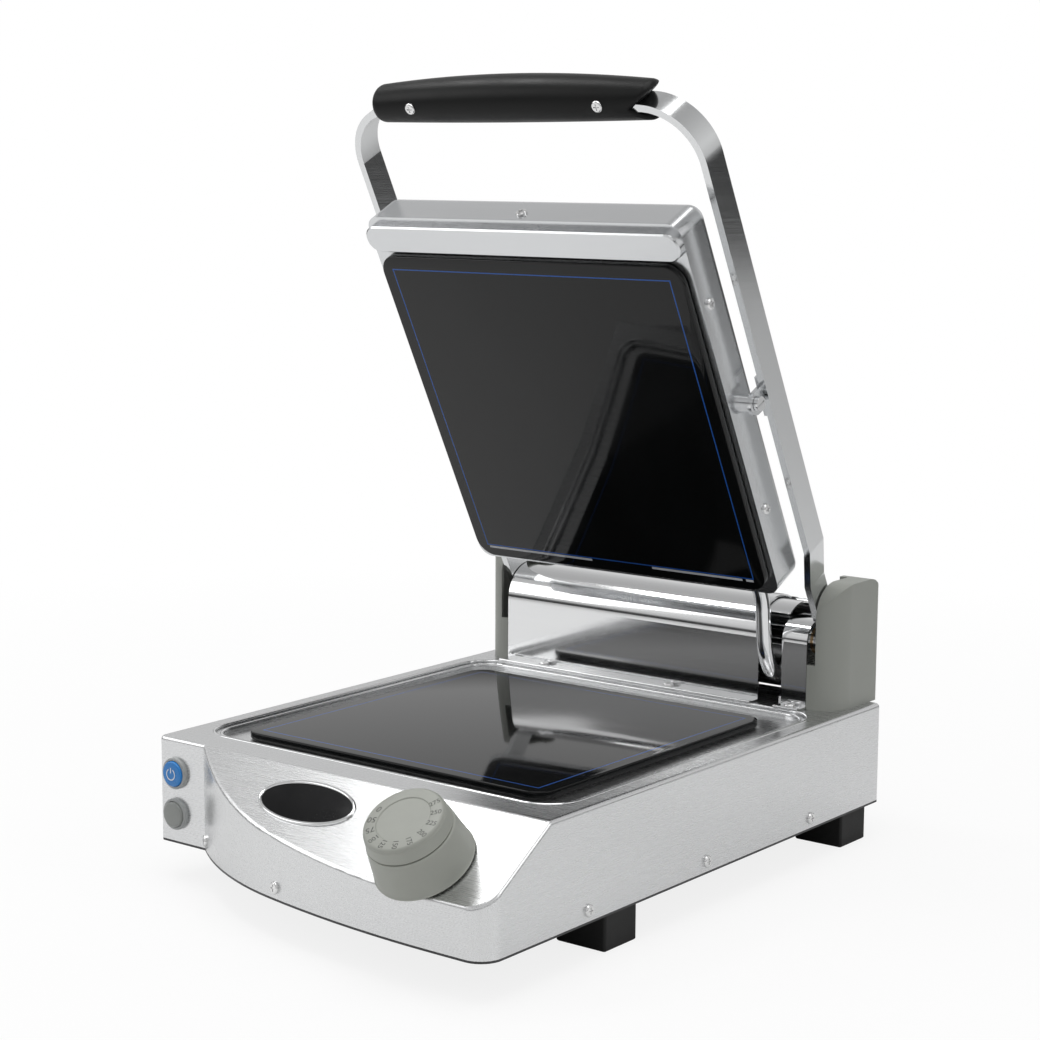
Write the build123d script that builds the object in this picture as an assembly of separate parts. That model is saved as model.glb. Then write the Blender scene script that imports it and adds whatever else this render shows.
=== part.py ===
from build123d import *
import os
from math import asin, cos, radians, sin, sqrt, tan

# Contact grill with two glass plates: stainless base, sloped control panel, lid on two arms.
# X points right, Y to the back, Z up; the feet stand on Z = 0. Millimetres.
# The lid is modelled closed, then turned about the hinge axis to the open pose it rests in.

# Casing
casing_width = 331.0
casing_back = 195.0          # rear wall
deck_front = -195.0          # fold between deck and sloped panel
apron_front = -256.5         # foremost line of the curved apron
foot_height = 25.0
plate_thickness = 1.5        # bottom plate
deck_top = 97.5
sheet = 1.5                  # stainless sheet of the casing
panel_slope = 33.0           # degrees down from the deck
fold_radius = 3.0            # top edges of the deck and panel
panel_fold = 6.0             # bend between deck and panel
apron_corner = 15.0
box_width = 39.5             # flat box that holds the two buttons
box_corner = 3.5
apron_flat_x = 128.0         # where the apron is squarest to the front
apron_right_radius = 760.0
apron_turn_x = -20.0          # where the apron curves more
apron_tuck = 2.1             # apron's left end behind the fold

# Glass and the pan pressed round it
glass_side = 255.0
glass_thickness = 5.0
glass_corner = 14.0
glass_bevel = 0.6
glass_back = 100.2           # rear edge of both glasses, lid closed
glass_proud = 1.0            # lower glass above the deck
seal_thickness = 1.0
seal_width = 8.0
pan_side_margin = 24.5       # glass edge to the pan's outer edge
pan_front_margin = 17.0
pan_back_margin = 34.0
pan_corner = 26.0
pan_step = 1.6
pan_ledge = 5.0
window_margin = 10.5         # glass edge to the heated window

# Heater stack under each glass
tray_depth = 24.0
tray_sheet = 1.0
tray_lip = 6.0
insulation_depth = 14.0
ribbon_width = 5.0
ribbon_thickness = 2.0
ribbon_pitch = 24.0
ribbon_runs = 9
ribbon_length = 190.0
element_gap = 2.0            # ribbon above the insulation's face

# Hinge
axis_y = 170.4
axis_z = 142.5
open_angle = 62.8
shaft_radius = 8.0
shaft_running_gap = 0.05
housing_front = 143.0
housing_back = 198.4
housing_top = 170.9
housing_round = 27.0
housing_back_round = 24.0
housing_half = 133.8
housing_sheet = 1.5
housing_end_top = 160.0      # lower end of the cover beside the conduit
housing_end_round = 16.0
flange_depth = 10.0
flange_screw_back = 4.6      # screws in front of the cover's face
conduit_slot_left = 94.0
conduit_slot_right = 113.5
slot_back = 186.0
cap_inner = 134.1
cap_outer = 157.5
cap_back = 205.0
cap_top = 187.0
cap_round = 25.0             # front to top, seen from the side
cap_back_round = 15.0
cap_wall = 2.5
cap_side_round = 21.0
cap_edge_round = 5.0
arm_slot_outer = 140.6
arm_slot_bottom = 129.5
bracket_thickness = 4.0
bracket_x = 122.0            # inner face of each hinge bracket
bracket_width = 36.0
bracket_head = 14.0          # radius of the bracket round the shaft
bracket_foot = 16.0
bush_wall = 2.0

# Arms, grip and pivot
arm_thickness = 5.0
arm_width = 20.0
arm_inner = 141.5
arm_crank = 7.0              # inward step beside the hinge
crank_start = 54.0           # distances from the hinge axis
crank_end = 84.0
arm_hub = 12.0
arm_bend_radius = 40.0       # centre line
arm_bend_y = -210.8
arm_end_x = 58.0
grip_length = 236.0
grip_middle = 32.0           # across the grip at its middle
grip_ends = 26.5
grip_centre_y = -254.6
grip_notch = 23.0
grip_lip = 8.0               # rise of the notch from its root to its upper lip
grip_fit = 0.1
grip_screw_x = 78.0
pivot_y = -39.8
pivot_z = 125.2
pivot_radius = 4.0
pivot_head_radius = 5.0
pivot_head = 3.0
pivot_bracket_sheet = 3.0
pivot_bracket_length = 30.0

# Lid
plate_gap = 3.0              # between the two glasses, lid closed
lid_half_width = 132.0
lid_front = -182.8
lid_back = 105.2
lid_seat = 5.5               # glass face to the shell's rim
lid_depth = 31.5
lid_corner = 10.0
lid_edge_round = 7.0
lid_rim = 9.0                # flange that carries the glass
bar_height = 20.0
bar_thickness = 6.0
bar_front_gap = 3.4          # glass edge to bar
bar_bevel = 2.0
grommet_radius = 9.5
grommet_thickness = 3.0
conduit_radius = 5.4
conduit_x = 104.0
conduit_drop = 20.5          # below the hinge axis where it leaves the lid
conduit_low = 34.5           # lowest run below the hinge axis

# Controls
knob_x = 104.0
knob_down_slope = 49.3
knob_height = 37.0
knob_top_radius = 26.0
knob_base_radius = 32.0
knob_cap_height = 11.0
knob_gap = 1.0
knob_wall = 2.5
knob_edge = 2.0
spindle_radius = 3.0
spindle_flat = 0.8
thermostat_side = 36.0
thermostat_depth = 26.0
button_in = 16.0             # casing's side to the buttons
button_z = (73.6, 45.6)
button_bezel_radius = 10.75
button_bezel_height = 3.0
button_radius = 8.6
button_height = 5.2
button_gap = 0.3
button_travel = 2.5
switch_side = 18.0
switch_depth = 16.0
badge_x = -8.5
badge_down_slope = 27.5
badge_length = 79.0
badge_height = 35.0
badge_thickness = 1.6
badge_rim = 2.6

# Fasteners, feet and services
screw_radius = 2.0
screw_head = 4.0
screw_head_height = 2.0
screw_length = 9.0
screw_clearance = 0.15
side_screw_z = 33.6
side_screw_y = (-157.4, -28.8, 99.8)
apron_screw_x = (-118.0, -12.0)
lid_screw_z = 116.5
lid_screw_y = (-120.0, 39.8)
foot_width = 38.0
foot_depth = 34.0
foot_x = 142.8
foot_y = (-118.0, 166.0)
foot_bore = 6.0
foot_floor = 8.0
gland_x = -90.0
gland_z = 55.0
gland_radius = 11.0
gland_hole = 4.2
gland_reach = 14.0
vent_count = 11
vent_pitch = 14.0
vent_length = 60.0
vent_width = 4.0

# Worked out from the sizes above
half_width = casing_width / 2
heater_window = glass_side - 2 * window_margin
button_x = button_in - half_width
floor_z = foot_height + plate_thickness
glass_front = glass_back - glass_side
glass_centre_y = glass_back - glass_side / 2
lower_glass_top = deck_top + glass_proud
lower_glass_bottom = lower_glass_top - glass_thickness
pan_floor = lower_glass_bottom - seal_thickness
upper_face = lower_glass_top + plate_gap
lid_rim_z = upper_face + lid_seat
lid_top = lid_rim_z + lid_depth
big = 1000.0


def opened(part):
    """Turn a piece of the closed lid about the hinge axis into the open pose."""
    axis = Axis((0, axis_y, axis_z), (1, 0, 0))
    return part.rotate(axis, -open_angle)


def slab(x0, x1, y0, y1, z0, z1):
    """Block between two corners."""
    return Pos((x0 + x1) / 2, (y0 + y1) / 2, (z0 + z1) / 2) * Box(x1 - x0, y1 - y0, z1 - z0)


def rounded_slab(width, depth, corner, z0, z1, centre_y=0.0, centre_x=0.0):
    """Plate with rounded corners between two heights."""
    sketch = Pos(centre_x, centre_y, z0) * RectangleRounded(width, depth, corner)
    return extrude(sketch, amount=z1 - z0, dir=(0, 0, 1))


def x_rod(radius, x0, x1, y, z):
    """Round bar along X."""
    low, high = min(x0, x1), max(x0, x1)
    return Pos((low + high) / 2, y, z) * Rot(0, 90, 0) * Cylinder(radius, high - low)


def y_rod(radius, y0, y1, x, z):
    """Round bar along Y."""
    return Pos(x, (y0 + y1) / 2, z) * Rot(90, 0, 0) * Cylinder(radius, y1 - y0)


def profile_bar(points_yz, x0, x1):
    """Extrude an outline in the Y-Z plane along X."""
    wire = Polyline(*[(0, y, z) for y, z in points_yz], close=True)
    return extrude(make_face(wire), amount=x1 - x0, dir=(1, 0, 0)).moved(Location((x0, 0, 0)))


def on_panel(x, down):
    """Frame on the sloped panel: local Z is its normal, local Y points up the slope."""
    slope = radians(panel_slope)
    origin = (x, deck_front - down * cos(slope), deck_top - down * sin(slope))
    return Plane(origin=origin, x_dir=(1, 0, 0), z_dir=(0, -sin(slope), cos(slope)))


def mirrored(part):
    """The same piece on the left side."""
    return mirror(part, about=Plane.YZ)


def apron_arcs():
    """Centres of the two tangent arcs that make the apron's plan."""
    right = (apron_flat_x, apron_front + apron_right_radius)
    angle = asin((apron_flat_x - apron_turn_x) / apron_right_radius)
    turn_y = right[1] - apron_right_radius * cos(angle)
    across = apron_turn_x - (box_width - half_width)
    along = deck_front + apron_tuck - turn_y
    left_radius = (across ** 2 + along ** 2) / (2 * (along * cos(angle) - across * sin(angle)))
    left = (apron_turn_x + left_radius * sin(angle), turn_y + left_radius * cos(angle))
    return right, left, left_radius


def apron_y(x, inset=0.0):
    """Front of the apron at a place along its width."""
    right, left, left_radius = apron_arcs()
    if x >= apron_flat_x:
        return apron_front + inset
    centre, radius = (right, apron_right_radius) if x >= apron_turn_x else (left, left_radius)
    return centre[1] - sqrt((radius - inset) ** 2 - (x - centre[0]) ** 2)


def apron_plan(inset=0.0):
    """Plan of the sloped panel and apron, reaching back under the deck."""
    box_right = -half_width + box_width
    wall = half_width - inset
    back = deck_front + 60.0
    turn = (apron_turn_x, apron_y(apron_turn_x, inset))
    flat = (apron_flat_x, apron_front + inset)
    end = (box_right, apron_y(box_right, inset))
    half_right = (apron_turn_x + apron_flat_x) / 2
    half_left = (apron_turn_x + box_right) / 2
    face = make_face([
        Line((box_right, back), end),
        ThreePointArc(end, (half_left, apron_y(half_left, inset)), turn),
        ThreePointArc(turn, (half_right, apron_y(half_right, inset)), flat),
        Line(flat, (wall, apron_front + inset)),
        Line((wall, apron_front + inset), (wall, back)),
        Line((wall, back), (box_right, back)),
    ])
    nose = face.vertices().filter_by(lambda v: v.X > wall - 1 and v.Y < apron_front + inset + 1)
    return fillet(nose, apron_corner - inset)


def deck_plan(inset=0.0):
    """Plan of the casing behind the fold, with its rounded corners."""
    width = casing_width - 2 * inset
    depth = casing_back - deck_front - 2 * inset
    return Pos(0, (casing_back + deck_front) / 2) * RectangleRounded(width, depth, box_corner - inset)


def casing_block(inset, low, round_top):
    """Solid under the deck and panel, drawn in by a wall thickness."""
    top = deck_top - inset
    deck = extrude(deck_plan(inset), amount=top - low, dir=(0, 0, 1)).moved(Location((0, 0, low)))
    deck = fillet(deck.edges().group_by(Axis.Z)[-1], round_top)
    slope = radians(panel_slope)
    fold_y = deck_front + inset * tan(slope / 2)
    reach = 150.0
    side = make_face(Polyline((0, fold_y + reach, low), (0, fold_y + reach, top), (0, fold_y, top),
                              (0, fold_y - reach, top - reach * tan(slope)), (0, fold_y - reach, low), close=True))
    side = fillet(side.vertices().filter_by(lambda v: abs(v.Y - fold_y) < 0.1), panel_fold)
    front = extrude(apron_plan(inset), amount=top - low, dir=(0, 0, 1)).moved(Location((0, 0, low)))
    front = front & extrude(side, amount=casing_width, both=True)
    wall = half_width - inset
    rear = deck_front + 59.0
    rims = []
    for edge in front.edges():
        box = edge.bounding_box()
        upper = edge.center().Z > low + 1
        upright = box.max.Z - box.min.Z > 0.8 * (top - low) - inset and box.max.Y - box.min.Y < 0.5
        upright = upright or (box.max.X - box.min.X < 0.01 and box.max.Y - box.min.Y < 0.01)
        across = box.max.X - box.min.X > wall and box.max.Y - box.min.Y < 0.01
        left = box.max.X < -half_width + box_width + 0.01
        if upper and not upright and not across and not left and box.max.Y < rear + 1 and box.min.Y < rear - 1:
            rims.append(edge)
    return deck, front, rims


def pan_pocket(grow, floor, inset):
    """Space of the pan round the lower glass, down to a floor height."""
    width = glass_side + 2 * (pan_side_margin - inset + grow)
    front = glass_front - pan_front_margin + inset - grow
    back = glass_back + pan_back_margin - inset + grow
    depth = back - front
    corner = pan_corner - inset + grow
    return rounded_slab(width, depth, corner, floor, deck_top + 10, (front + back) / 2)


def make_casing():
    """Folded and pressed stainless cover with the pan, the panel and its holes."""
    deck, front, rims = casing_block(0.0, floor_z, fold_radius)
    outer = deck + fillet(rims, fold_radius)
    deck, front, rims = casing_block(sheet, floor_z - 5.0, fold_radius - sheet)
    inner = deck + fillet(rims, fold_radius - sheet)
    shell = outer - pan_pocket(0, deck_top - pan_step, 0) - pan_pocket(0, pan_floor, pan_ledge)
    inner = inner - pan_pocket(sheet, deck_top - pan_step - sheet, 0)
    inner = inner - pan_pocket(sheet, pan_floor - sheet, pan_ledge)
    shell = shell - inner
    shell -= rounded_slab(heater_window, heater_window, glass_corner / 2, pan_floor - 3, pan_floor + 3,
                          glass_centre_y)
    hole = screw_radius + screw_clearance
    for y in side_screw_y:
        shell -= x_rod(hole, -half_width - 1, half_width + 1, y, side_screw_z)
    for spot, way in apron_screw_spots():
        shell -= Plane(origin=spot, z_dir=way) * Cylinder(hole, 24)
    for z in button_z:
        shell -= y_rod(button_radius + 1.0, deck_front - 5, deck_front + 5, button_x, z)
    shell -= on_panel(knob_x, knob_down_slope) * Cylinder(spindle_radius + 2.0, 20)
    shell -= y_rod(gland_radius - 3.0, casing_back - 5, casing_back + 5, gland_x, gland_z)
    for side in (-1, 1):
        for x in flange_screw_x():
            shell -= Pos(x, flange_screw_y(), deck_top) * Cylinder(hole, 10)
        for y in bracket_screw_y():
            shell -= Pos(side * bracket_screw_x(), y, deck_top) * Cylinder(hole, 10)
    return shell


def flange_screw_x():
    """Screws along the hinge cover's front flange."""
    return (-housing_half + 39.0, 20.0, (conduit_slot_right + housing_half) / 2)


def flange_screw_y():
    return housing_front - flange_screw_back


def bracket_screw_y():
    return (axis_y - bracket_width / 4, axis_y + bracket_width / 4)


def bracket_screw_x():
    return bracket_x - bracket_foot / 2


def make_bottom_plate():
    """Black sheet closing the base, with rows of cooling slots."""
    plate = extrude(deck_plan() + apron_plan(), amount=plate_thickness, dir=(0, 0, 1))
    plate = plate.moved(Location((0, 0, foot_height)))
    for row_y in (-60.0, 60.0):
        for i in range(vent_count):
            x = (i - (vent_count - 1) / 2) * vent_pitch
            slot = Pos(x, row_y, foot_height - 1) * SlotOverall(vent_length, vent_width, rotation=90)
            plate -= extrude(slot, amount=plate_thickness + 2, dir=(0, 0, 1))
    for x in (-foot_x, foot_x):
        for y in foot_y:
            plate -= Pos(x, y, foot_height) * Cylinder(screw_radius + screw_clearance, 10)
    return plate


def make_feet():
    """Four rubber blocks, counterbored for their screws."""
    feet = []
    for x in (-foot_x, foot_x):
        for y in foot_y:
            foot = extrude(Rectangle(foot_width, foot_depth), amount=foot_height, dir=(0, 0, 1))
            foot = fillet(foot.edges().filter_by(Axis.Z), 2.0)
            foot = chamfer(foot.edges().group_by(Axis.Z)[0], 0.8)
            foot -= Pos(0, 0, (foot_height - foot_floor) / 2) * Cylinder(foot_bore, foot_height - foot_floor)
            foot -= Pos(0, 0, foot_height / 2) * Cylinder(screw_radius + screw_clearance, foot_height + 1)
            feet.append(foot.moved(Location((x, y, 0))))
    return feet


def make_screw(length=None):
    """Cross-headed pan screw, pointing down local Z, head above the origin."""
    reach = length or screw_length
    head = Pos(0, 0, screw_head_height / 2) * Cylinder(screw_head, screw_head_height)
    head = fillet(head.edges().group_by(Axis.Z)[-1], 1.2)
    body = head + Pos(0, 0, -reach / 2) * Cylinder(screw_radius, reach)
    for turn in (0, 90):
        body -= Pos(0, 0, screw_head_height) * Rot(0, 0, turn) * Box(4.4, 0.9, 1.6)
    return body


def screws_at(spots):
    """Place a screw at each point with its head along the given direction."""
    return [Plane(origin=spot, z_dir=way) * make_screw() for spot, way in spots]


def make_glass(bottom):
    """Bevelled glass plate with rounded corners."""
    plate = rounded_slab(glass_side, glass_side, glass_corner, bottom, bottom + glass_thickness, glass_centre_y)
    rims = plate.edges().group_by(Axis.Z)
    return chamfer(rims[0] + rims[-1], glass_bevel)


def make_seal(bottom, thickness):
    """Flat gasket frame between a glass and its seat."""
    outer = glass_side - 4.0
    ring = rounded_slab(outer, outer, glass_corner - 2, bottom, bottom + thickness, glass_centre_y)
    inner = outer - 2 * seal_width
    return ring - rounded_slab(inner, inner, glass_corner - 6, bottom - 1, bottom + thickness + 1, glass_centre_y)


def make_tray(rim, way):
    """Pan that holds the heater: rim against the seat, floor away from the glass (way is -1 or 1)."""
    side = heater_window - 4.0
    far = rim + way * tray_depth
    low, high = min(rim, far), max(rim, far)
    tray = rounded_slab(side, side, 6.0, low, high, glass_centre_y)
    inner_low = low + (tray_sheet if way < 0 else -1)
    inner_high = high + (1 if way < 0 else -tray_sheet)
    tray -= rounded_slab(side - 2 * tray_sheet, side - 2 * tray_sheet, 5.0, inner_low, inner_high, glass_centre_y)
    lip_low = rim - tray_sheet if way < 0 else rim
    lip = rounded_slab(side + 2 * tray_lip, side + 2 * tray_lip, 8.0, lip_low, lip_low + tray_sheet, glass_centre_y)
    lip -= rounded_slab(side - 1, side - 1, 6.0, lip_low - 1, lip_low + tray_sheet + 1, glass_centre_y)
    return tray + lip


def make_insulation(rim, way):
    """Fibre block on the tray's floor."""
    side = heater_window - 4.0 - 2 * tray_sheet - 0.6
    far = rim + way * (tray_depth - tray_sheet)
    near = far - way * insulation_depth
    return rounded_slab(side, side, 4.5, min(far, near), max(far, near), glass_centre_y)


def make_element(rim, way):
    """Resistance ribbon folded back and forth on the insulation, with its two tails."""
    face = rim + way * (tray_depth - tray_sheet - insulation_depth)
    start = -(ribbon_runs - 1) / 2 * ribbon_pitch
    ribbon = None
    for i in range(ribbon_runs):
        x = start + i * ribbon_pitch
        run = Pos(x, glass_centre_y) * Rectangle(ribbon_width, ribbon_length)
        ribbon = run if ribbon is None else ribbon + run
        if i < ribbon_runs - 1:
            end = 1 if i % 2 == 0 else -1
            bend = Pos(x + ribbon_pitch / 2, glass_centre_y + end * ribbon_length / 2) * (
                Circle((ribbon_pitch + ribbon_width) / 2) - Circle((ribbon_pitch - ribbon_width) / 2))
            keep = Pos(x + ribbon_pitch / 2, glass_centre_y + end * (ribbon_length / 2 + ribbon_pitch)) * Rectangle(
                2 * ribbon_pitch, 2 * ribbon_pitch)
            ribbon = ribbon + (bend & keep)
    low = face - ribbon_thickness if way > 0 else face
    return extrude(ribbon, amount=ribbon_thickness, dir=(0, 0, 1)).moved(Location((0, 0, low)))


def hinge_profile(front, back, top, front_round, back_round, bottom):
    """Side outline of the hinge cover as a face in the Y-Z plane."""
    path = [
        Line((0, front, bottom), (0, front, top - front_round)),
        ThreePointArc((0, front, top - front_round),
                      (0, front + front_round * (1 - cos(radians(45))), top - front_round * (1 - sin(radians(45)))),
                      (0, front + front_round, top)),
        Line((0, front + front_round, top), (0, back - back_round, top)),
        ThreePointArc((0, back - back_round, top),
                      (0, back - back_round * (1 - sin(radians(45))), top - back_round * (1 - cos(radians(45)))),
                      (0, back, top - back_round)),
        Line((0, back, top - back_round), (0, back, bottom)),
        Line((0, back, bottom), (0, front, bottom)),
    ]
    return make_face(path)


def hinge_block(x0, x1, front, back, top, front_round, back_round, bottom):
    """The hinge cover's side outline carried along X."""
    face = hinge_profile(front, back, top, front_round, back_round, bottom)
    return extrude(face, amount=x1 - x0, dir=(1, 0, 0)).moved(Location((x0, 0, 0)))


def make_housing():
    """Polished sheet cover over the hinge shaft, slotted for the conduit."""
    s = housing_sheet
    cover = hinge_block(-housing_half, conduit_slot_right, housing_front, housing_back, housing_top,
                        housing_round, housing_back_round, deck_top)
    cover += hinge_block(conduit_slot_right, housing_half, housing_front, housing_back, housing_end_top,
                         housing_end_round, housing_end_round, deck_top)
    cover -= hinge_block(-housing_half - 1, conduit_slot_right - s, housing_front + s, housing_back - s,
                         housing_top - s, housing_round - s, housing_back_round - s, deck_top - 1)
    cover -= hinge_block(conduit_slot_right - 2 * s, housing_half + 1, housing_front + s, housing_back - s,
                         housing_end_top - s, housing_end_round - s, housing_end_round - s, deck_top - 1)
    flange = slab(-housing_half, housing_half, housing_front - flange_depth, housing_front + s, deck_top, deck_top + s)
    bead = x_rod(1.2, -housing_half, housing_half, housing_front - flange_depth, deck_top + 1.2)
    cover = cover + flange + bead
    cover -= slab(conduit_slot_left, conduit_slot_right, housing_front - 20, slot_back, deck_top - 1, housing_top + 1)
    for x in flange_screw_x():
        cover -= Pos(x, flange_screw_y(), deck_top) * Cylinder(screw_radius + screw_clearance, 10)
    return cover


def make_cap():
    """Right end cap: moulded shell rounded in plan and profile, with the slot the arm swings through."""
    def block(shrink, x0):
        body = hinge_block(x0, cap_outer - shrink, housing_front + shrink, cap_back - shrink, cap_top - shrink,
                           cap_round - shrink, cap_back_round - shrink, deck_top - (1 if shrink else 0))
        plan = Pos((x0 + cap_outer - shrink) / 2, (housing_front + cap_back) / 2, deck_top - 2) * Rectangle(
            cap_outer - shrink - x0, cap_back - housing_front - 2 * shrink)
        corner = plan.vertices().filter_by(lambda v: v.X > cap_inner + 5 and v.Y < axis_y)
        plan = fillet(corner, cap_side_round - shrink)
        rear = plan.vertices().filter_by(lambda v: v.X > cap_inner + 5 and v.Y > axis_y)
        plan = fillet(rear, cap_edge_round + 1 - shrink)
        return body & extrude(plan, amount=cap_top - deck_top + 5, dir=(0, 0, 1))
    cap = block(0, cap_inner) - block(cap_wall, cap_inner - 1)
    cap -= slab(cap_inner - 1, arm_slot_outer, housing_front - 5, slot_back, arm_slot_bottom, cap_top + 5)
    return cap


def make_bracket():
    """Right hinge bracket: upright plate with a bearing eye, folded foot on the deck."""
    eye = x_rod(bracket_head, bracket_x, bracket_x + bracket_thickness, axis_y, axis_z)
    upright = slab(bracket_x, bracket_x + bracket_thickness, axis_y - bracket_width / 2, axis_y + bracket_width / 2,
                   deck_top, axis_z - bracket_head)
    neck = slab(bracket_x, bracket_x + bracket_thickness, axis_y - bracket_head, axis_y + bracket_head,
                axis_z - bracket_head - 1, axis_z)
    foot = slab(bracket_x - bracket_foot, bracket_x, axis_y - bracket_width / 2, axis_y + bracket_width / 2,
                deck_top, deck_top + bracket_thickness)
    body = eye + upright + neck + foot
    body -= x_rod(shaft_radius + shaft_running_gap + bush_wall, bracket_x - 1, bracket_x + bracket_thickness + 1,
                  axis_y, axis_z)
    for y in bracket_screw_y():
        body -= Pos(bracket_screw_x(), y, deck_top) * Cylinder(screw_radius + screw_clearance, 20)
    return body


def make_bush():
    """Flanged bearing bush in a hinge bracket."""
    bore = shaft_radius + shaft_running_gap
    bush = x_rod(bore + bush_wall, bracket_x, bracket_x + bracket_thickness, axis_y, axis_z)
    bush += x_rod(bore + bush_wall + 2, bracket_x - bush_wall, bracket_x, axis_y, axis_z)
    return bush - x_rod(bore, bracket_x - 10, bracket_x + 10, axis_y, axis_z)


def make_shaft():
    """Hinge tube between the arms, with square-cut ends and through bore for the wires."""
    end = arm_inner - arm_crank
    tube = x_rod(shaft_radius, -end, end, axis_y, axis_z)
    return tube - x_rod(shaft_radius - 2.5, -end - 1, end + 1, axis_y, axis_z)


def make_arm():
    """Right arm: flat bar with a cranked hinge end and a bend into the grip."""
    half = arm_width / 2
    inner = arm_inner
    outer = arm_inner + arm_thickness
    crank_in = arm_inner - arm_crank
    centre_x = inner + arm_thickness / 2 - arm_bend_radius
    r_in = arm_bend_radius - arm_thickness / 2
    r_out = arm_bend_radius + arm_thickness / 2
    dip = sin(radians(45))
    plan = [
        Line((crank_in, axis_y + arm_hub), (crank_in, axis_y - crank_start)),
        Line((crank_in, axis_y - crank_start), (inner, axis_y - crank_end)),
        Line((inner, axis_y - crank_end), (inner, arm_bend_y)),
        ThreePointArc((inner, arm_bend_y), (centre_x + r_in * dip, arm_bend_y - r_in * dip),
                      (centre_x, arm_bend_y - r_in)),
        Line((centre_x, arm_bend_y - r_in), (arm_end_x, arm_bend_y - r_in)),
        Line((arm_end_x, arm_bend_y - r_in), (arm_end_x, arm_bend_y - r_out)),
        Line((arm_end_x, arm_bend_y - r_out), (centre_x, arm_bend_y - r_out)),
        ThreePointArc((centre_x, arm_bend_y - r_out), (centre_x + r_out * dip, arm_bend_y - r_out * dip),
                      (outer, arm_bend_y)),
        Line((outer, arm_bend_y), (outer, axis_y - crank_end)),
        Line((outer, axis_y - crank_end), (crank_in + arm_thickness, axis_y - crank_start)),
        Line((crank_in + arm_thickness, axis_y - crank_start), (crank_in + arm_thickness, axis_y + arm_hub)),
        Line((crank_in + arm_thickness, axis_y + arm_hub), (crank_in, axis_y + arm_hub)),
    ]
    bar = extrude(make_face(plan), amount=arm_width + 2 * (arm_hub - half), dir=(0, 0, 1))
    bar = bar.moved(Location((0, 0, axis_z - arm_hub)))
    side = x_rod(arm_hub, 0, outer + 5, axis_y, axis_z)
    side += slab(0, outer + 5, grip_centre_y - 40, axis_y, axis_z - half, axis_z + half)
    bar = bar & side
    bar -= x_rod(screw_radius + screw_clearance, 0, big / 4, axis_y, axis_z)
    bar -= Pos(grip_screw_x, grip_centre_y, axis_z) * Cylinder(screw_radius + screw_clearance, 2 * arm_width)
    return bar


def make_grip_body():
    """Barrel-shaped grip, turned about its own length."""
    half = grip_length / 2
    ends = grip_ends / 2
    middle = grip_middle / 2
    edge = make_face([
        Line((-half, 0), (-half, ends - 2.0)),
        ThreePointArc((-half, ends - 2.0), (-half + 0.6, ends - 0.6), (-half + 2.0, ends)),
        ThreePointArc((-half + 2.0, ends), (0, middle), (half - 2.0, ends)),
        ThreePointArc((half - 2.0, ends), (half - 0.6, ends - 0.6), (half, ends - 2.0)),
        Line((half, ends - 2.0), (half, 0)),
        Line((half, 0), (-half, 0)),
    ])
    barrel = revolve(edge, axis=Axis.X, revolution_arc=360)
    return Pos(0, grip_centre_y, axis_z) * barrel


def arm_pocket():
    """Space for both arms inside the grip, opening into a notch at each end."""
    half = arm_width / 2 + grip_fit
    r_mid = arm_bend_radius
    thick = arm_thickness / 2 + grip_fit
    centre_x = arm_inner + arm_thickness / 2 - arm_bend_radius
    ring = Pos(centre_x, arm_bend_y) * (Circle(r_mid + thick) - Circle(r_mid - thick))
    ring = ring & (Pos(centre_x + 100, arm_bend_y - 100) * Rectangle(200, 200))
    run = Pos((centre_x + arm_end_x - grip_fit) / 2, arm_bend_y - r_mid) * Rectangle(
        centre_x - arm_end_x + grip_fit, 2 * thick)
    flat = extrude(ring + run, amount=2 * half, dir=(0, 0, 1)).moved(Location((0, 0, axis_z - half)))
    tip = grip_length / 2
    root = grip_centre_y + arm_thickness / 2
    wedge = Polyline((tip - grip_notch, root), (tip + arm_thickness, root - grip_lip - arm_thickness),
                     (tip + arm_thickness, root + grip_lip), close=True)
    notch = extrude(make_face(wedge), amount=2 * grip_middle, dir=(0, 0, 1)).moved(
        Location((0, 0, axis_z - grip_middle)))
    return flat + notch


def make_grips():
    """Front and rear halves of the grip, parted through the arms' middle."""
    body = make_grip_body()
    pocket = arm_pocket()
    body = body - pocket - mirrored(pocket)
    for x in (-grip_screw_x, grip_screw_x):
        body -= Pos(x, grip_centre_y, axis_z) * Cylinder(screw_radius + screw_clearance, 60)
        body -= Pos(x, grip_centre_y, axis_z - grip_middle / 2) * Cylinder(screw_head + 0.4, 4.0)
    parting = axis_z
    lower = body & slab(-200, 200, grip_centre_y - 60, grip_centre_y + 60, 0, parting)
    upper = body & slab(-200, 200, grip_centre_y - 60, grip_centre_y + 60, parting, 300)
    return lower, upper


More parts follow.
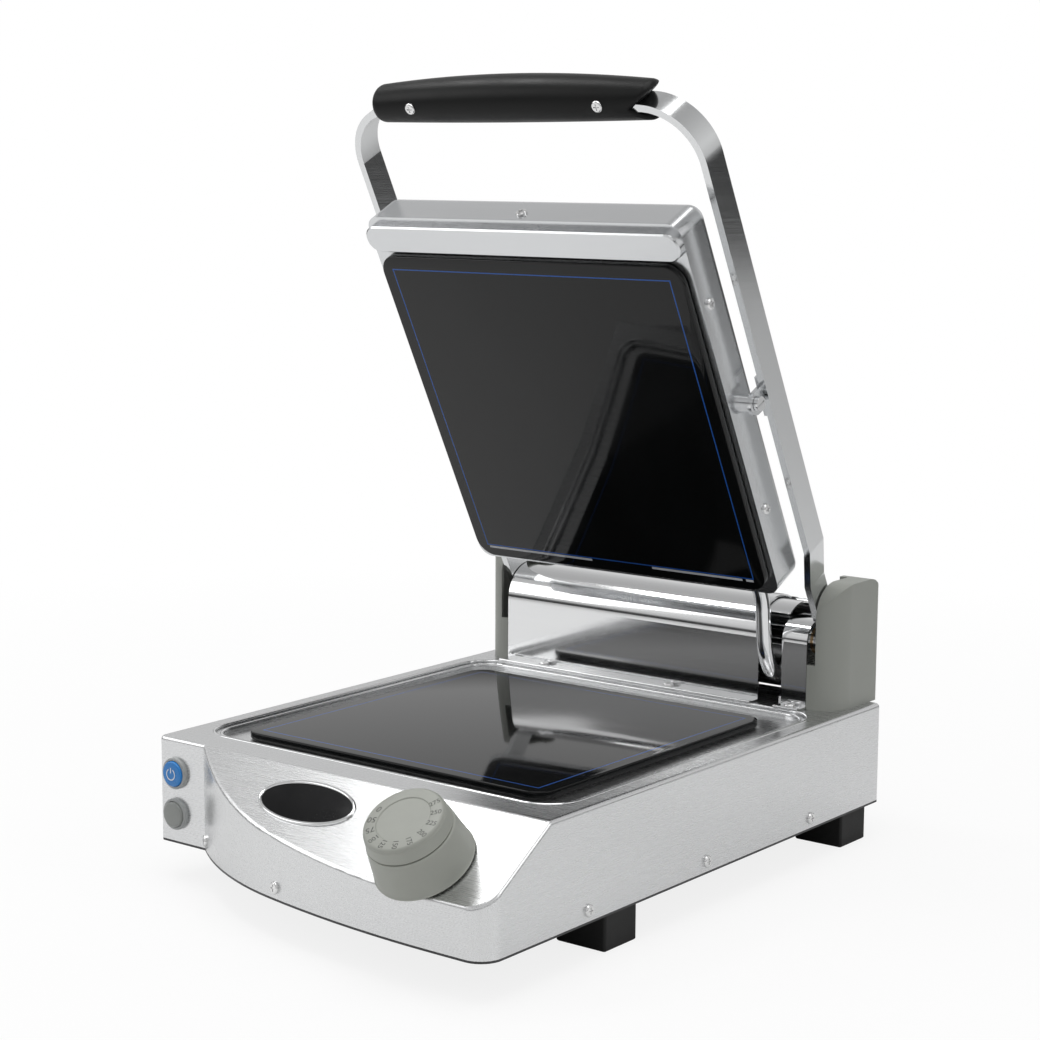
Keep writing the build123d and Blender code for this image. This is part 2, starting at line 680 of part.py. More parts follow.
def make_lid_shell():
    """Deep-drawn stainless lid cover with the rim that carries the glass."""
    width = 2 * lid_half_width
    depth = lid_back - lid_front
    centre = (lid_back + lid_front) / 2
    outer = rounded_slab(width, depth, lid_corner, lid_rim_z, lid_top, centre)
    outer = fillet(outer.edges().group_by(Axis.Z)[-1], lid_edge_round)
    s = sheet
    inner = rounded_slab(width - 2 * s, depth - 2 * s, lid_corner - s, lid_rim_z - 1, lid_top - s, centre)
    inner = fillet(inner.edges().group_by(Axis.Z)[-1], lid_edge_round - s)
    shell = outer - inner
    rim = rounded_slab(width - s, depth - s, lid_corner - s / 2, lid_rim_z, lid_rim_z + s, centre)
    rim -= rounded_slab(heater_window, heater_window, glass_corner / 2, lid_rim_z - 1, lid_rim_z + s + 1,
                        glass_centre_y)
    shell = shell + rim
    hole = screw_radius + screw_clearance
    for y in lid_screw_y:
        shell -= x_rod(hole, -lid_half_width - 1, lid_half_width + 1, y, lid_screw_z)
    shell -= x_rod(pivot_radius + 0.02, -lid_half_width - 1, lid_half_width + 1, pivot_y, pivot_z)
    shell -= y_rod(hole, lid_front - 1, lid_front + 5, 0, lid_screw_z)
    shell -= y_rod(conduit_radius, lid_back - 5, lid_back + 5, conduit_x, axis_z - conduit_drop)
    return shell


def make_bar():
    """Bumper across the lid's front: full-round ends and a bevelled strip on its upper edge."""
    centre = glass_front - bar_front_gap - bar_height / 2
    flat = Pos(0, centre, lid_rim_z - bar_thickness) * SlotOverall(2 * lid_half_width, bar_height)
    bar = extrude(flat, amount=bar_thickness, dir=(0, 0, 1))
    edge = bar.edges().filter_by(lambda e: e.center().Z < lid_rim_z - bar_thickness + 0.01)
    return chamfer(edge, bar_bevel / 2, bar_bevel / 2)


def make_pivot_bracket():
    """Right bracket on the arm's inner face that carries the lid's pivot pin."""
    x1 = arm_inner
    x0 = arm_inner - pivot_bracket_sheet
    eye = 8.0
    tail = slab(x0, x1, pivot_y - pivot_bracket_length / 2, pivot_y + pivot_bracket_length / 2,
                axis_z - arm_width / 2 + 1, axis_z + arm_width / 2 - 3)
    ear = x_rod(eye, x0, x1, pivot_y, pivot_z)
    web = slab(x0, x1, pivot_y - eye, pivot_y + eye, pivot_z, axis_z)
    body = tail + ear + web
    return body - x_rod(pivot_radius + 0.05, x0 - 1, x1 + 1, pivot_y, pivot_z)


def make_pivot_pin():
    """Right shoulder pin: fixed in the lid's side wall, turning in the bracket on the arm."""
    wall = lid_half_width - sheet
    pin = x_rod(pivot_radius, wall, arm_inner + 0.3, pivot_y, pivot_z)
    pin += x_rod(pivot_head_radius, arm_inner + 0.3, arm_inner + 0.3 + pivot_head, pivot_y, pivot_z)
    pin += x_rod(pivot_head_radius + 1.0, wall - 3.0, wall, pivot_y, pivot_z)
    pin += x_rod(pivot_head_radius + 1.0, lid_half_width, arm_inner - pivot_bracket_sheet - 0.3, pivot_y, pivot_z)
    slot = Pos(arm_inner + 0.3 + pivot_head, pivot_y, pivot_z) * Box(1.6, 1.2, 8.0)
    return pin - slot


def make_grommet():
    """Ring in the lid's rear wall where the conduit leaves it."""
    z = axis_z - conduit_drop
    ring = y_rod(grommet_radius, lid_back, lid_back + grommet_thickness, conduit_x, z)
    return ring - y_rod(conduit_radius, lid_back - 1, lid_back + grommet_thickness + 1, conduit_x, z)


def make_conduit():
    """Wire conduit from inside the lid, curling under the hinge shaft."""
    start = axis_z - conduit_drop
    low = axis_z - conduit_low
    path = FilletPolyline(
        (conduit_x, lid_back - 6.0, start),
        (conduit_x, axis_y - 46.0, start),
        (conduit_x, axis_y - 10.0, low),
        (conduit_x, axis_y + 14.0, low + 2.0),
        (conduit_x, axis_y + 16.5, low + 19.0),
        radius=[40.0, 40.0, 12.0])
    section = Plane(origin=path @ 0, z_dir=path % 0) * Circle(conduit_radius)
    return sweep(section, path=path)


def make_knob():
    """Knob in two pieces on its own frame: flared skirt with a boss, and the cap with a rounded rim."""
    seam = knob_height - knob_cap_height
    seam_radius = knob_base_radius + (knob_top_radius - knob_base_radius) * seam / knob_height
    skirt = loft([Pos(0, 0, knob_gap) * Circle(knob_base_radius), Pos(0, 0, seam) * Circle(seam_radius)])
    inner = loft([Pos(0, 0, knob_gap - 0.1) * Circle(knob_base_radius - knob_wall),
                  Pos(0, 0, seam - knob_wall) * Circle(seam_radius - knob_wall)])
    boss = Pos(0, 0, (6 + seam) / 2) * Cylinder(7.0, seam - 6)
    skirt = fillet(skirt.edges().group_by(Axis.Z)[0], knob_edge / 2)
    skirt = skirt - inner + boss
    spindle_hole = Pos(0, 0, (knob_gap + seam - 3) / 2) * Cylinder(spindle_radius + 0.05, seam - 3 - knob_gap)
    spindle_hole -= Pos(0, 2 * spindle_radius - spindle_flat + 0.05, seam / 2) * Box(
        4 * spindle_radius, 2 * spindle_radius, seam + 2)
    skirt -= spindle_hole
    cap = loft([Pos(0, 0, seam + 0.4) * Circle(seam_radius - 0.6), Pos(0, 0, knob_height) * Circle(knob_top_radius)])
    cap = fillet(cap.edges().group_by(Axis.Z)[-1], knob_edge)
    cap += Pos(0, 0, seam + 0.2) * Cylinder(seam_radius - 2.0, 0.4)
    return skirt, cap


def make_spindle():
    """Flatted thermostat spindle through the panel into the knob."""
    top = knob_height - knob_cap_height - 3.2
    bottom = -sheet - 2.0
    rod = Pos(0, 0, (top + bottom) / 2) * Cylinder(spindle_radius, top - bottom)
    return rod - Pos(0, 2 * spindle_radius - spindle_flat, (top + 4) / 2 + 1) * Box(
        4 * spindle_radius, 2 * spindle_radius, top - 4 + 2)


def make_thermostat():
    """Thermostat body behind the panel, with its mounting collar and terminals."""
    face = -sheet
    body = Pos(0, 0, face - 1.0 - thermostat_depth / 2) * Box(thermostat_side, thermostat_side, thermostat_depth)
    body = fillet(body.edges().filter_by(Axis.Z), 3.0)
    collar = Pos(0, 0, face - 0.5) * Cylinder(8.0, 1.0)
    body += collar
    for x in (-10, 0, 10):
        body += Pos(x, 0, face - 1.0 - thermostat_depth - 4) * Box(6.3, 0.8, 8)
    return body - Pos(0, 0, face) * Cylinder(spindle_radius + 0.3, 8.0)


def make_bezel(z):
    """Fixed collar round a push button."""
    front = deck_front - button_bezel_height
    ring = y_rod(button_bezel_radius, front, deck_front, button_x, z)
    ring = fillet(ring.edges().group_by(Axis.Y)[0], 1.2)
    return ring - y_rod(button_radius + button_gap, front - 1, deck_front + 1, button_x, z)


def make_button(z):
    """Push button: face with a rounded rim, and a stem towards its switch."""
    front = deck_front - button_height
    head = y_rod(button_radius, front, deck_front + 4.0, button_x, z)
    head = fillet(head.edges().group_by(Axis.Y)[0], 1.6)
    return head + y_rod(3.0, deck_front + 4.0, deck_front + 8.0, button_x, z)


def make_switch(z):
    """Switch body behind a button."""
    near = deck_front + 8.0 + button_travel + 0.5
    body = slab(button_x - switch_side / 2, button_x + switch_side / 2, near, near + switch_depth,
                z - switch_side / 2, z + switch_side / 2)
    for dz in (-5, 5):
        body += slab(button_x - 0.4, button_x + 0.4, near + switch_depth, near + switch_depth + 7, z + dz - 3, z + dz + 3)
    post = slab(button_x - switch_side / 2 - 3, button_x - switch_side / 2, deck_front + sheet, near + switch_depth,
                z - 6, z + 6)
    return body + post


def make_badge():
    """Oval plate with a raised rim, left bare."""
    plate = extrude(Ellipse(badge_length / 2, badge_height / 2), amount=badge_thickness)
    field = extrude(Ellipse(badge_length / 2 - badge_rim, badge_height / 2 - badge_rim), amount=badge_thickness)
    return plate - field.moved(Location((0, 0, badge_thickness * 0.45)))


def make_gland():
    """Cable gland in the rear wall, with its lock nut inside."""
    body = y_rod(gland_radius, casing_back, casing_back + 4, gland_x, gland_z)
    body += y_rod(gland_radius - 2.5, casing_back + 4, casing_back + gland_reach, gland_x, gland_z)
    body = chamfer(body.edges().group_by(Axis.Y)[-1], 1.5)
    body += y_rod(gland_radius - 3.2, casing_back - 9, casing_back, gland_x, gland_z)
    nut = Plane(origin=(gland_x, casing_back - sheet - 4, gland_z), x_dir=(1, 0, 0), z_dir=(0, 1, 0)) * RegularPolygon(
        gland_radius, 6)
    body += extrude(nut, amount=4)
    return body - y_rod(gland_hole, casing_back - 20, casing_back + 30, gland_x, gland_z)


def make_terminal_block():
    """Mains terminals screwed to the bottom plate behind the gland."""
    x0, y0 = gland_x - 25, casing_back - 55
    block = slab(x0, x0 + 50, y0, y0 + 20, floor_z, floor_z + 16)
    for i in range(4):
        x = x0 + 8 + i * 11.3
        block -= Pos(x, y0 + 10, floor_z + 16) * Cylinder(3.2, 12)
        block -= y_rod(2.0, y0 - 1, y0 + 21, x, floor_z + 5)
    return block


def side_screw_spots():
    spots = []
    for y in side_screw_y:
        spots += [((half_width, y, side_screw_z), (1, 0, 0)), ((-half_width, y, side_screw_z), (-1, 0, 0))]
    return spots


def apron_screw_spots():
    """Screws square to the curved apron."""
    spots = []
    for x in apron_screw_x:
        slope = (apron_y(x + 1.0) - apron_y(x - 1.0)) / 2
        spots.append(((x, apron_y(x), side_screw_z), (slope, -1, 0)))
    return spots


def build():
    """Every piece by its node name."""
    parts = {}
    parts["casing"] = make_casing()
    parts["bottom_plate"] = make_bottom_plate()
    parts["feet"] = make_feet()
    parts["lower_glass"] = make_glass(lower_glass_bottom)
    parts["lower_glass_seal"] = make_seal(pan_floor, seal_thickness)
    lower_rim = pan_floor - sheet
    parts["lower_heater_tray"] = make_tray(lower_rim, -1)
    parts["lower_insulation"] = make_insulation(lower_rim, -1)
    parts["lower_heater_element"] = make_element(lower_rim, -1)
    parts["hinge_housing"] = make_housing()
    cap = make_cap()
    parts["hinge_cap_right"] = cap
    parts["hinge_cap_left"] = mirrored(cap)
    parts["hinge_brackets"] = [make_bracket(), mirrored(make_bracket())]
    parts["hinge_bushes"] = [make_bush(), mirrored(make_bush())]
    parts["badge_plate"] = on_panel(badge_x, badge_down_slope) * make_badge()
    knob_frame = on_panel(knob_x, knob_down_slope)
    skirt, knob_top = make_knob()
    parts["knob_skirt"] = knob_frame * skirt
    parts["knob_cap"] = knob_frame * knob_top
    parts["thermostat_spindle"] = knob_frame * make_spindle()
    parts["thermostat"] = knob_frame * make_thermostat()
    for name, z in zip(("upper", "lower"), button_z):
        parts[name + "_button_bezel"] = make_bezel(z)
        parts[name + "_button"] = make_button(z)
    parts["button_switches"] = [make_switch(z) for z in button_z]
    parts["cable_gland"] = make_gland()
    parts["terminal_block"] = make_terminal_block()
    parts["side_screws"] = screws_at(side_screw_spots())
    parts["apron_screws"] = screws_at(apron_screw_spots())
    parts["hinge_cover_screws"] = screws_at([((x, flange_screw_y(), deck_top + housing_sheet), (0, 0, 1))
                                             for x in flange_screw_x()])
    parts["bracket_screws"] = screws_at([((side * bracket_screw_x(), y, deck_top + bracket_thickness), (0, 0, 1))
                                         for side in (-1, 1) for y in bracket_screw_y()])
    parts["foot_screws"] = screws_at([((x, y, foot_height - foot_floor), (0, 0, -1))
                                      for x in (-foot_x, foot_x) for y in foot_y])
    parts["hinge_shaft"] = opened(make_shaft())
    arm = make_arm()
    parts["arm_right"] = opened(arm)
    parts["arm_left"] = opened(mirrored(arm))
    lower, upper = make_grips()
    parts["grip_front"] = opened(lower)
    parts["grip_back"] = opened(upper)
    head_face = axis_z - grip_middle / 2 + 2.0
    parts["grip_screws"] = [opened(s) for s in screws_at([((x, grip_centre_y, head_face), (0, 0, -1))
                                                          for x in (-grip_screw_x, grip_screw_x)])]
    bracket = make_pivot_bracket()
    parts["pivot_brackets"] = [opened(bracket), opened(mirrored(bracket))]
    pin = make_pivot_pin()
    parts["pivot_pins"] = [opened(pin), opened(mirrored(pin))]
    parts["conduit"] = opened(make_conduit())
    parts["lid_shell"] = opened(make_lid_shell())
    parts["upper_glass"] = opened(make_glass(upper_face))
    parts["upper_glass_seal"] = opened(make_seal(upper_face + glass_thickness, lid_seat - glass_thickness))
    upper_rim = lid_rim_z + sheet
    parts["upper_heater_tray"] = opened(make_tray(upper_rim, 1))
    parts["upper_insulation"] = opened(make_insulation(upper_rim, 1))
    parts["upper_heater_element"] = opened(make_element(upper_rim, 1))
    parts["bumper_bar"] = opened(make_bar())
    parts["conduit_grommet"] = opened(make_grommet())
    spots = [((side * lid_half_width, y, lid_screw_z), (side, 0, 0)) for side in (-1, 1) for y in lid_screw_y]
    spots += [((0, lid_front, lid_screw_z), (0, -1, 0))]
    parts["lid_screws"] = [opened(s) for s in screws_at(spots)]
    return parts


def main():
    os.makedirs("parts", exist_ok=True)
    parts = build()
    low, high = big, -big
    for piece in parts.values():
        for solid in piece if isinstance(piece, list) else [piece]:
            box = solid.bounding_box()
            low, high = min(low, box.min.Y), max(high, box.max.Y)
    shift = -(low + high) / 2
    for name, piece in parts.items():
        solids = piece if isinstance(piece, list) else [piece]
        moved = [s.moved(Location((0, shift, 0))) for s in solids]
        shape = moved[0] if len(moved) == 1 else Compound(children=moved)
        export_step(shape, "parts/" + name + ".step")
    print("moved back by", round(shift, 3))
    print("hinge axis at", round(axis_y + shift, 3), round(axis_z, 3))


main()
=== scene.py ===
import math

import bpy
import numpy as np
from mathutils import Matrix, Vector


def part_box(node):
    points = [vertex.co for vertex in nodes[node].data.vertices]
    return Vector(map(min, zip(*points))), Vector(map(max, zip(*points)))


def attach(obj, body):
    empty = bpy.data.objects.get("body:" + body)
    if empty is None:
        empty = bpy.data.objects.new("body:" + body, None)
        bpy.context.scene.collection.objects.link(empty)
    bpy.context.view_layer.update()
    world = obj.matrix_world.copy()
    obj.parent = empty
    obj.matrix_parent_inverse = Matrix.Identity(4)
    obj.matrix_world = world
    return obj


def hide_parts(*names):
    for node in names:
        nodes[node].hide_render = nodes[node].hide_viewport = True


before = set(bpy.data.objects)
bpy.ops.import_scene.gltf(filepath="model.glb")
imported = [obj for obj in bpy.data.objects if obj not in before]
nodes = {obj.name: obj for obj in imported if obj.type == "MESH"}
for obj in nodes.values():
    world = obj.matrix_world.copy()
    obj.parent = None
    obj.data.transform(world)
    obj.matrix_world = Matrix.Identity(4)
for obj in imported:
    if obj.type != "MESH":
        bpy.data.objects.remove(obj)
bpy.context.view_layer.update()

# Sizes shared with the solids, in metres and degrees, before the model is centred on its box
bodySpec = {"axisY": 0.1704, "openAngle": 62.8, "panelSlope": 33.0, "deckFront": -0.195, "deckTop": 0.0975,
            "glassBack": 0.1002, "glassSide": 0.255}

shaftLow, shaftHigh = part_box("hinge_shaft")
axisY = (shaftLow.y + shaftHigh.y) / 2
axisZ = (shaftLow.z + shaftHigh.z) / 2
openAngle = math.radians(bodySpec["openAngle"])
shiftY = axisY - bodySpec["axisY"]  # how far the solids were moved back when they were centred
glassCentre = shiftY + bodySpec["glassBack"] - bodySpec["glassSide"] / 2
print("hinge axis", round(axisY, 5), round(axisZ, 5))

# Camera: where it stands, its heading, dip and roll in degrees, and its lens in millimetres
cameraSpec = {"eye": (0.96382, -1.24871, 0.47902), "yaw": 37.98, "pitch": 8.74, "roll": 0.28, "lens": 80.68,
              "sensor": 36.0, "reach": 50.0}


def addCamera(spec):
    eye = Vector(spec["eye"]) + Vector((0, shiftY, 0))
    yaw, pitch, roll = (math.radians(spec[key]) for key in ("yaw", "pitch", "roll"))
    look = Vector((-math.sin(yaw) * math.cos(pitch), math.cos(yaw) * math.cos(pitch), -math.sin(pitch)))
    right = Vector((math.cos(yaw), math.sin(yaw), 0))
    up = right.cross(look)
    across = right * math.cos(roll) + up * math.sin(roll)
    above = -right * math.sin(roll) + up * math.cos(roll)
    turn = Matrix((across, above, -look)).transposed().to_4x4()
    data = bpy.data.cameras.new("camera")
    data.lens = spec["lens"]
    data.sensor_width = spec["sensor"]
    data.clip_end = spec["reach"]
    camera = bpy.data.objects.new("camera", data)
    camera.matrix_world = Matrix.Translation(eye) @ turn
    bpy.context.scene.collection.objects.link(camera)
    bpy.context.scene.camera = camera


addCamera(cameraSpec)
print("camera placed")


# A mesh from points and faces, with its finish, tied to its body and its material slot
def addMesh(name, verts, faces, material, body, smooth=True, angle=35.0):
    mesh = bpy.data.meshes.new(name)
    mesh.from_pydata(np.asarray(verts, float).tolist(), [], faces)
    mesh.validate()
    piece = bpy.data.objects.new(name, mesh)
    bpy.context.scene.collection.objects.link(piece)
    if smooth:
        mesh.shade_smooth()
        mesh.set_sharp_from_angle(angle=math.radians(angle))
    mesh.materials.append(material)
    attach(piece, body)
    return piece


# Points of the closed lid turned about the hinge axis into the open pose
def opened(points):
    points = np.array(points, float)
    y, z = points[:, 1] - axisY, points[:, 2] - axisZ
    c, s = math.cos(-openAngle), math.sin(-openAngle)
    points[:, 1] = axisY + y * c - z * s
    points[:, 2] = axisZ + y * s + z * c
    return points


# Quads between neighbouring rows of a grid of points; columns and rows may close on themselves
def gridFaces(rows, columns, closed=True, looped=False):
    i, j = np.meshgrid(np.arange(rows if looped else rows - 1),
                       np.arange(columns if closed else columns - 1), indexing="ij")
    nextRow, nextColumn = (i + 1) % rows, (j + 1) % columns
    quads = np.stack([i * columns + j, i * columns + nextColumn, nextRow * columns + nextColumn,
                      nextRow * columns + j], -1)
    return quads.reshape(-1, 4).tolist()


# The first and last rows of a grid as two faces that look outwards
def endFaces(rows, columns):
    last = (rows - 1) * columns
    return [list(range(columns))[::-1], list(range(last, last + columns))]


# Profile of (radius, height) turned round local Z, with both ends closed
def lathe(profile, segments):
    profile = np.array(profile)
    radius, height = profile[:, :1], profile[:, 1:]
    angle = 2 * np.pi * np.arange(segments) / segments
    verts = np.stack(np.broadcast_arrays(radius * np.cos(angle), radius * np.sin(angle), height), -1)
    return verts.reshape(-1, 3), gridFaces(len(profile), segments) + endFaces(len(profile), segments)


# Rectangle with rounded corners, anticlockwise: each corner's centre plus a quarter circle
def roundedLoop(halfX, halfY, corner, steps):
    angle = np.radians(np.arange(4)[:, None] * 90 + np.linspace(0, 90, steps + 1))
    side = np.array([(1, 1), (-1, 1), (-1, -1), (1, -1)])
    x = side[:, :1] * (halfX - corner) + corner * np.cos(angle)
    y = side[:, 1:] * (halfY - corner) + corner * np.sin(angle)
    return np.stack([x.ravel(), y.ravel()], 1)


# Loops of the given half sizes, one for each growth and height, stacked into a grid of points
def stackedLoops(halfX, halfY, corner, steps, growths, heights, centreY):
    loops = [roundedLoop(halfX + grow, halfY + grow, max(corner + grow, 1e-4), steps) for grow in growths]
    rows = np.zeros((len(loops), 4 * (steps + 1), 3))
    rows[..., :2] = loops
    rows[..., 1] += centreY
    rows[..., 2] = np.asarray(heights)[:, None]
    return rows.reshape(-1, 3)


# Local points carried into a frame given by its axes
def placed(points, origin, xAxis, yAxis, zAxis):
    return np.asarray(points, float) @ np.array([xAxis, yAxis, zAxis], float) + np.array(origin)


# Quarter turn in equal steps, as the sine and cosine of each angle
def quarter(count):
    turn = np.radians(np.linspace(0, 90, count))
    return np.sin(turn), np.cos(turn)


# A shader value: arithmetic, comparison and abs() on it add Math nodes
class Socket:
    def __init__(self, graph, out):
        self.graph, self.out = graph, out

    def math(self, operation, other=None):
        node = self.graph.node("ShaderNodeMath", {"operation": operation})
        self.graph.feed(node.inputs[0], self)
        if other is not None:
            self.graph.feed(node.inputs[1], other)
        return Socket(self.graph, node.outputs[0])

    def __add__(self, other):
        return self.math("ADD", other)

    def __sub__(self, other):
        return self.math("SUBTRACT", other)

    def __rsub__(self, other):
        return self.math("MULTIPLY", -1.0) + other

    def __mul__(self, other):
        return self.math("MULTIPLY", other)

    def __gt__(self, other):
        return self.math("GREATER_THAN", other)

    def __lt__(self, other):
        return self.math("LESS_THAN", other)

    def __abs__(self):
        return self.math("ABSOLUTE")

    def max(self, other):
        return self.math("MAXIMUM", other)

    __radd__ = __add__
    __rmul__ = __mul__


# A material's node tree, its Principled shader and short calls for the nodes used here
class Graph:
    def __init__(self, name, **constants):
        self.material = bpy.data.materials.new(name)
        self.material.use_nodes = True
        self.tree = self.material.node_tree
        self.shader = self.tree.nodes["Principled BSDF"]
        for key, value in constants.items():
            self.shader.inputs[key.replace("_", " ")].default_value = value
        self.coords = self.node("ShaderNodeTexCoord").outputs["Object"]

    def node(self, kind, settings=None, **inputs):
        made = self.tree.nodes.new(kind)
        for key, value in (settings or {}).items():
            setattr(made, key, value)
        for key, value in inputs.items():
            self.feed(made.inputs[key.replace("_", " ")], value)
        return made

    def feed(self, target, value):
        if isinstance(value, Socket):
            value = value.out
        if isinstance(value, bpy.types.NodeSocket):
            self.tree.links.new(value, target)
        else:
            target.default_value = value

    def axes(self, vector=None):
        split = self.node("ShaderNodeSeparateXYZ", Vector=vector or self.coords)
        return [Socket(self, out) for out in split.outputs]

    def noise(self, scale, detail, stretch=(1, 1, 1), turn=(0, 0, 0)):
        mapping = self.node("ShaderNodeMapping", Vector=self.coords, Rotation=turn, Scale=stretch)
        made = self.node("ShaderNodeTexNoise", Vector=mapping.outputs[0], Scale=scale, Detail=detail,
                         Roughness=0.6)
        return Socket(self, made.outputs[0])

    def ramp(self, value, low, high, toLow, toHigh):
        made = self.node("ShaderNodeMapRange", Value=value, From_Min=low, From_Max=high, To_Min=toLow,
                         To_Max=toHigh)
        return Socket(self, made.outputs[0])

    def mix(self, factor, first, second):
        made = self.node("ShaderNodeMix", {"data_type": "RGBA"})
        self.feed(made.inputs[0], factor)
        for index, value in ((6, first), (7, second)):
            self.feed(made.inputs[index], (*value, 1.0) if isinstance(value, tuple) else value)
        return Socket(self, made.outputs[2])

    def choose(self, factor, first, second):
        made = self.node("ShaderNodeMix", {"data_type": "FLOAT"})
        for index, value in zip((0, 2, 3), (factor, first, second)):
            self.feed(made.inputs[index], value)
        return Socket(self, made.outputs[0])

    def bump(self, height, strength, distance):
        made = self.node("ShaderNodeBump", Height=height, Strength=strength, Distance=distance)
        self.feed(self.shader.inputs["Normal"], made.outputs[0])

    def finish(self, colour, roughness):
        self.feed(self.shader.inputs["Base Color"], colour)
        self.feed(self.shader.inputs["Roughness"], roughness)


# Brushed sheet: fine lines across on top and front, along the depth on the two sides
def steel(name, base, rough, streak, tilt=0.0, grain=2300.0, lineDepth=0.010):
    g = Graph(name, Metallic=1.0)
    along = g.noise(grain, 3.0, (0.012, 1.0, 1.0), (tilt, 0, 0))
    sideways = g.noise(grain, 3.0, (1.0, 0.012, 1.0), (tilt, 0, 0))
    normal = g.node("ShaderNodeTexCoord").outputs["Normal"]
    line = g.choose(abs(g.axes(normal)[0]) > 0.7, along, sideways)
    cloud = g.noise(9.0, 3.0)
    smudge = g.noise(45.0, 5.0)
    light = tuple(min(1.0, c * 1.015) for c in base)
    dark = tuple(c * 0.985 for c in base)
    tone = g.ramp(line * 0.5 + cloud * 0.5, 0.35, 0.65, 0.0, 1.0)
    spread = g.ramp(line, 0.3, 0.7, rough - streak, rough + streak)
    g.finish(g.mix(tone, dark, light), spread + g.ramp(smudge, 0.5, 0.8, 0.0, streak * 0.5))
    g.bump(line, lineDepth, 0.0003)
    return g.material


# Moulded plastic or rubber: fine grain, slight mottling, and edges made paler where the surface turns convex
def plastic(name, base, rough, grain=1400.0, bump=0.12, edge=1.25, **extra):
    g = Graph(name, **extra)
    fine = g.noise(grain, 2.0)
    cloud = g.noise(25.0, 4.0)
    dull = tuple(c * 0.92 for c in base)
    paleEdge = tuple(min(1.0, c * edge + 0.004) for c in base)
    tone = g.mix(g.ramp(cloud, 0.35, 0.65, 0.0, 1.0), dull, base)
    # Colour lifted paler by the edge factor wherever the surface turns convex
    point = Socket(g, g.node("ShaderNodeNewGeometry").outputs["Pointiness"])
    convexEdge = g.ramp(point, 0.52, 0.6, 0.0, 1.0)
    spread = g.ramp(cloud * 0.6 + fine * 0.4, 0.35, 0.65, rough - 0.05, rough + 0.07)
    g.finish(g.mix(convexEdge, tone, paleEdge), spread)
    g.bump(fine, bump, 0.0003)
    return g.material


# Print on the glass: a fine blue line inside the edge and, on the upper glass, pale dashes near its rear edge
printSpec = {"line": 0.1173, "lineHalf": 0.00045, "lineReach": 0.1178, "dashY": -0.0786, "dashHalf": 0.0009,
             "dashes": ((-0.066, 0.045), (0.070, 0.038), (-0.112, 0.004), (0.114, 0.003)),
             "black": (0.0018, 0.002, 0.0021), "wiped": (0.0035, 0.0038, 0.004), "blue": (0.015, 0.075, 0.30),
             "pale": (0.45, 0.46, 0.48)}


def printedGlass(name, tilted, gloss, spec):
    g = Graph(name, IOR=1.52, Specular_IOR_Level=gloss)
    x, y, z = g.axes()
    if tilted:  # back to the closed lid's own y
        y = (y - axisY) * math.cos(openAngle) - (z - axisZ) * math.sin(openAngle) + axisY
    sideX, sideY = abs(x), abs(y - glassCentre)
    acrossLine = (abs(sideX - spec["line"]) < spec["lineHalf"]) * (sideY < spec["lineReach"])
    alongLine = (abs(sideY - spec["line"]) < spec["lineHalf"]) * (sideX < spec["lineReach"])
    line = acrossLine.max(alongLine)
    wipe = g.noise(14.0, 5.0, (1.0, 0.4, 0.6))
    tone = g.mix(g.ramp(wipe, 0.4, 0.7, 0.0, 1.0), spec["black"], spec["wiped"])
    tone = g.mix(line, tone, spec["blue"])
    if tilted:
        spots = [abs(x - centre) < half for centre, half in spec["dashes"]]
        marks = spots[0].max(spots[1]).max(spots[2]).max(spots[3])
        tone = g.mix((abs(y - (axisY + spec["dashY"])) < spec["dashHalf"]) * marks, tone, spec["pale"])
    g.finish(tone, g.ramp(wipe, 0.35, 0.7, 0.035, 0.08) + line * 0.15)
    g.bump(g.noise(300.0, 2.0), 0.01, 0.0002)
    return g.material


brushed = steel("brushedSteel", (0.675, 0.68, 0.685), 0.27, 0.03)
brushedLid = steel("brushedLidSteel", (0.66, 0.67, 0.68), 0.22, 0.03, tilt=openAngle)
armSteel = steel("armSteel", (0.70, 0.71, 0.715), 0.14, 0.02, tilt=openAngle, grain=1300.0)
polishedSteel = steel("polishedSteel", (0.74, 0.745, 0.75), 0.09, 0.02, grain=500.0, lineDepth=0.006)
screwSteel = steel("screwSteel", (0.74, 0.74, 0.74), 0.20, 0.05, grain=2500.0)
innerSteel = steel("innerSteel", (0.55, 0.55, 0.56), 0.38, 0.06)
ribbonSteel = steel("ribbonSteel", (0.36, 0.31, 0.28), 0.45, 0.06)
bronze = steel("bronzeBush", (0.62, 0.43, 0.24), 0.32, 0.05)
greyPlastic = plastic("greyPlastic", (0.205, 0.212, 0.194), 0.42, 1600.0, 0.10)
knobPlastic = plastic("knobPlastic", (0.315, 0.325, 0.292), 0.38, 1600.0, 0.10)
blackGrip = plastic("blackGrip", (0.0035, 0.0037, 0.0036), 0.38, 900.0, 0.15, 1.6, Specular_IOR_Level=0.18)
blackPlastic = plastic("blackPlastic", (0.014, 0.014, 0.015), 0.45)
blackPaint = plastic("blackPaint", (0.016, 0.016, 0.017), 0.40, 700.0, 0.08)
footRubber = plastic("footRubber", (0.006, 0.006, 0.006), 0.5, 1100.0, 0.20, Specular_IOR_Level=0.25)
sealRubber = plastic("sealRubber", (0.02, 0.02, 0.021), 0.6)
blueCap = plastic("blueCap", (0.02, 0.19, 0.52), 0.28, 1500.0, 0.04)
greyCap = plastic("greyCap", (0.24, 0.25, 0.24), 0.36, 1500.0, 0.06)
bezelGrey = plastic("bezelGrey", (0.30, 0.31, 0.31), 0.34, 1500.0, 0.06)
badgeBlack = plastic("badgeBlack", (0.004, 0.004, 0.0045), 0.22, 600.0, 0.02, Specular_IOR_Level=0.1)
fibre = plastic("whiteFibre", (0.72, 0.70, 0.65), 0.85, 500.0, 0.5)
inkDark = plastic("inkDark", (0.035, 0.037, 0.035), 0.5)
